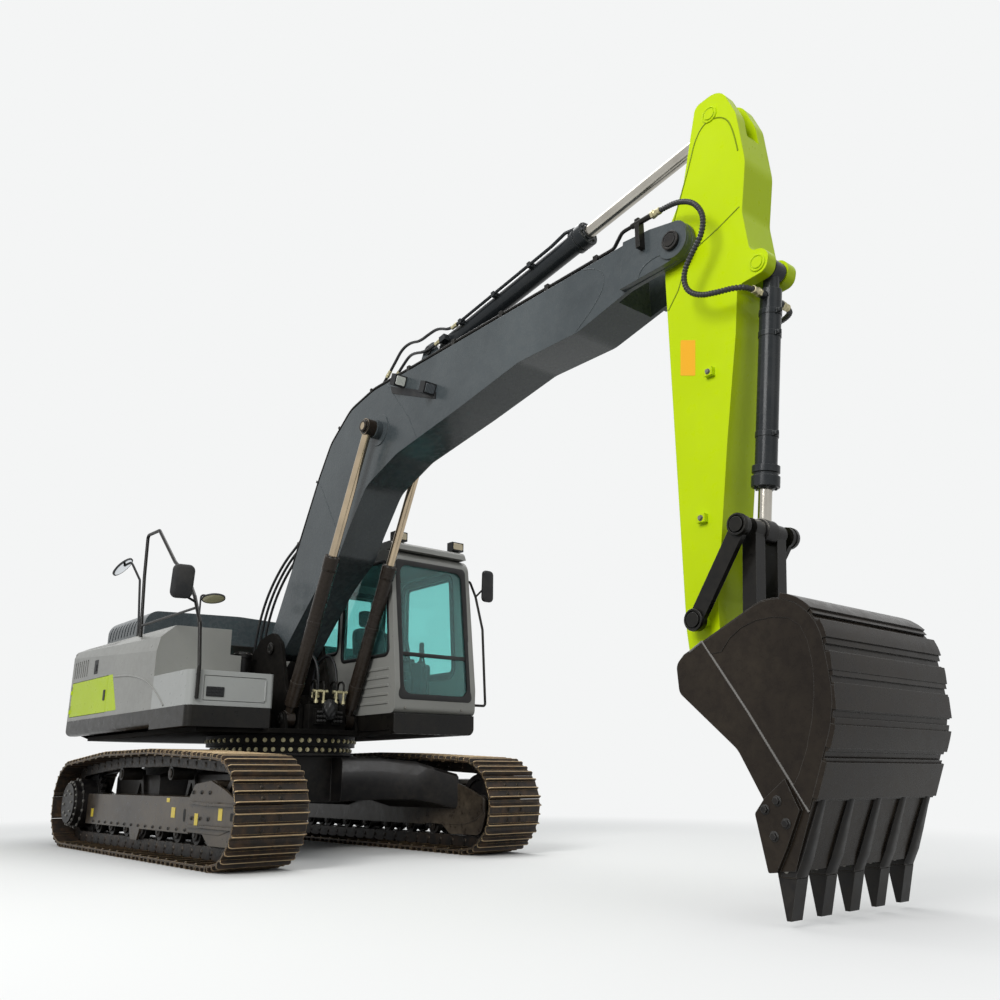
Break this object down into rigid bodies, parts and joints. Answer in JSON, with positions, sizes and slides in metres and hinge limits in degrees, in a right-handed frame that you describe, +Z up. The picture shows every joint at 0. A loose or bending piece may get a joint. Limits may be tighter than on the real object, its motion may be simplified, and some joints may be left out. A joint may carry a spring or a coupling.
{
  "type": "crawler excavator",
  "caption": "Tracked hydraulic excavator with a slewing house and cab, a bent boom, an arm and a toothed bucket",
  "frame": {"origin": "on the ground under the slewing axis", "axes": "+X is forward, from the tail to the bucket; +Y is to the machine's left; +Z is up"},
  "size_m": [9.3156, 3.2211, 5.0312],
  "materials": {
    "green": "gloss enamel",
    "bluegrey": "gloss enamel",
    "grey": "satin enamel",
    "darkgrey": "satin enamel",
    "black": "satin enamel",
    "track": "worn steel",
    "chrome": "polished",
    "glass": "tinted",
    "bucket": "gloss enamel",
    "frame": "satin enamel",
    "cast": "rough casting",
    "seat": "woven",
    "plastic": "grained",
    "rubber": "smooth"
  },
  "bodies": {
    "undercarriage": {"track_left": "track", "track_right": "track", "side_frames": "frame", "final_drives": "cast", "idlers": "cast", "rollers": "cast", "centre_frame": "frame", "slew_ring_lower": "cast"},
    "upper": {"slew_ring_upper": "cast", "upper_frame": "black", "counterweight": "darkgrey", "right_house": "grey", "left_house": "grey", "skirts": "black", "engine_block": "cast", "bay_wall": "black", "toolbox": "grey", "cab_shell": "grey", "cab_skirt": "black", "cab_roof": "grey", "cab_glass": "glass", "seat": "seat", "consoles": "plastic", "handrails": "black", "mirrors": "plastic", "cab_lamps": "plastic", "valve_hose_right": "rubber", "valve_hose_left": "rubber"},
    "boom": {"boom": "bluegrey", "boom_pipes": "black", "boom_lamps": "plastic", "foot_hose_a": "rubber", "foot_hose_b": "rubber", "foot_hose_c": "rubber", "foot_hose_d": "rubber", "arm_hose_upper": "rubber", "arm_hose_lower": "rubber", "nose_hose_right": "rubber", "nose_hose_left": "rubber"},
    "arm": {"arm": "green"},
    "bucket": {"bucket": "bucket", "bucket_teeth": "cast"},
    "boom_barrels": {"boom_cylinder_barrels": "bluegrey"},
    "boom_rods": {"boom_cylinder_rods": "chrome"},
    "arm_barrel": {"arm_cylinder_barrel": "bluegrey"},
    "arm_rod": {"arm_cylinder_rod": "chrome"},
    "bucket_barrel": {"bucket_cylinder_barrel": "bluegrey"},
    "bucket_rod": {"bucket_cylinder_rod": "chrome"},
    "guide_link": {"guide_links": "bluegrey"},
    "power_link_body": {"power_link": "bluegrey"},
    "hood": {"engine_hood": "bluegrey"},
    "toolbox_door_body": {"toolbox_door": "grey"},
    "pump_door_body": {"pump_door": "green"},
    "radiator_door_body": {"radiator_door": "grey"},
    "cab_door_body": {"cab_door": "grey", "cab_door_glass": "glass"}
  },
  "joints": [
    {"name": "swing", "type": "hinge", "parent": "undercarriage", "child": "upper", "pos_m": [0, 0, 0.96], "axis": [0, 0, 1], "continuous": true},
    {"name": "boom_lift", "type": "hinge", "parent": "upper", "child": "boom", "pos_m": [0.158, 0, 1.917], "axis": [0, -1, 0], "range_deg": [-56.7, 38.3], "deforming": ["foot_hose_a", "foot_hose_b", "foot_hose_c", "foot_hose_d", "valve_hose_right", "valve_hose_left"]},
    {"name": "arm_swing", "type": "hinge", "parent": "boom", "child": "arm", "pos_m": [5.458, 0, 4.028], "axis": [0, 1, 0], "range_deg": [-75, 30], "deforming": ["nose_hose_right", "nose_hose_left"]},
    {"name": "bucket_curl", "type": "hinge", "parent": "arm", "child": "bucket", "pos_m": [5.44, 0, 1.12], "axis": [0, 1, 0], "range_deg": [-3, 168]},
    {"name": "boom_barrel_tilt", "type": "hinge", "parent": "upper", "child": "boom_barrels", "pos_m": [0.7, 0, 1.2], "axis": [0, -1, 0], "range_deg": [-51.29, 34.81]},
    {"name": "boom_rod_slide", "type": "slide", "parent": "boom_barrels", "child": "boom_rods", "axis": [0.4302, 0, 0.9027], "range_m": [-0.7991, 0.5414]},
    {"name": "arm_barrel_tilt", "type": "hinge", "parent": "boom", "child": "arm_barrel", "pos_m": [2.55, 0, 4.37], "axis": [0, 1, 0], "range_deg": [-2.79, 1.42], "deforming": ["arm_hose_upper", "arm_hose_lower"]},
    {"name": "arm_rod_slide", "type": "slide", "parent": "arm_barrel", "child": "arm_rod", "axis": [0.9871, 0, 0.1604], "range_m": [-1.062, 0.4278]},
    {"name": "bucket_barrel_tilt", "type": "hinge", "parent": "arm", "child": "bucket_barrel", "pos_m": [6.004, 0, 3.66], "axis": [0, 1, 0], "range_deg": [-7.37, 0.62]},
    {"name": "bucket_rod_slide", "type": "slide", "parent": "bucket_barrel", "child": "bucket_rod", "axis": [-0.131, 0, -0.9914], "range_m": [-0.0241, 1.0752]},
    {"name": "guide_link_turn", "type": "hinge", "parent": "arm", "child": "guide_link", "pos_m": [5.44, 0, 1.54], "axis": [0, 1, 0], "range_deg": [-2.67, 121.95]},
    {"name": "power_link_turn", "type": "hinge", "parent": "bucket", "child": "power_link_body", "pos_m": [5.74, 0, 1.44], "axis": [0, -1, 0], "range_deg": [-2.57, 116.59]},
    {"name": "hood_lift", "type": "hinge", "parent": "upper", "child": "hood", "pos_m": [-2.36, 0, 2.1243], "axis": [0, -1, 0], "range_deg": [0, 55]},
    {"name": "toolbox_door_swing", "type": "hinge", "parent": "upper", "child": "toolbox_door_body", "pos_m": [0.83, -0.6275, 1.43], "axis": [0, 0, 1], "range_deg": [0, 100]},
    {"name": "pump_door_swing", "type": "hinge", "parent": "upper", "child": "pump_door_body", "pos_m": [-2.4775, -1.355, 1.5], "axis": [0, 0, -1], "range_deg": [0, 110]},
    {"name": "radiator_door_swing", "type": "hinge", "parent": "upper", "child": "radiator_door_body", "pos_m": [-2.4375, 1.355, 1.55], "axis": [0, 0, 1], "range_deg": [0, 110]},
    {"name": "cab_door_swing", "type": "hinge", "parent": "upper", "child": "cab_door_body", "pos_m": [0.1225, 1.365, 2], "axis": [0, 0, 1], "range_deg": [0, 165]}
  ],
  "couplings": [
    {"joint": "boom_barrel_tilt", "follows": "boom_lift", "ratio": 0.8957},
    {"joint": "boom_rod_slide", "follows": "boom_lift", "m_per_rad": 0.8024},
    {"joint": "arm_barrel_tilt", "follows": "arm_swing", "ratio": 0.0306},
    {"joint": "arm_rod_slide", "follows": "arm_swing", "m_per_rad": 0.8075},
    {"joint": "bucket_barrel_tilt", "follows": "bucket_curl", "ratio": -0.0409},
    {"joint": "bucket_rod_slide", "follows": "bucket_curl", "m_per_rad": 0.365},
    {"joint": "guide_link_turn", "follows": "bucket_curl", "ratio": 0.7229},
    {"joint": "power_link_turn", "follows": "bucket_curl", "ratio": 0.691}
  ]
}
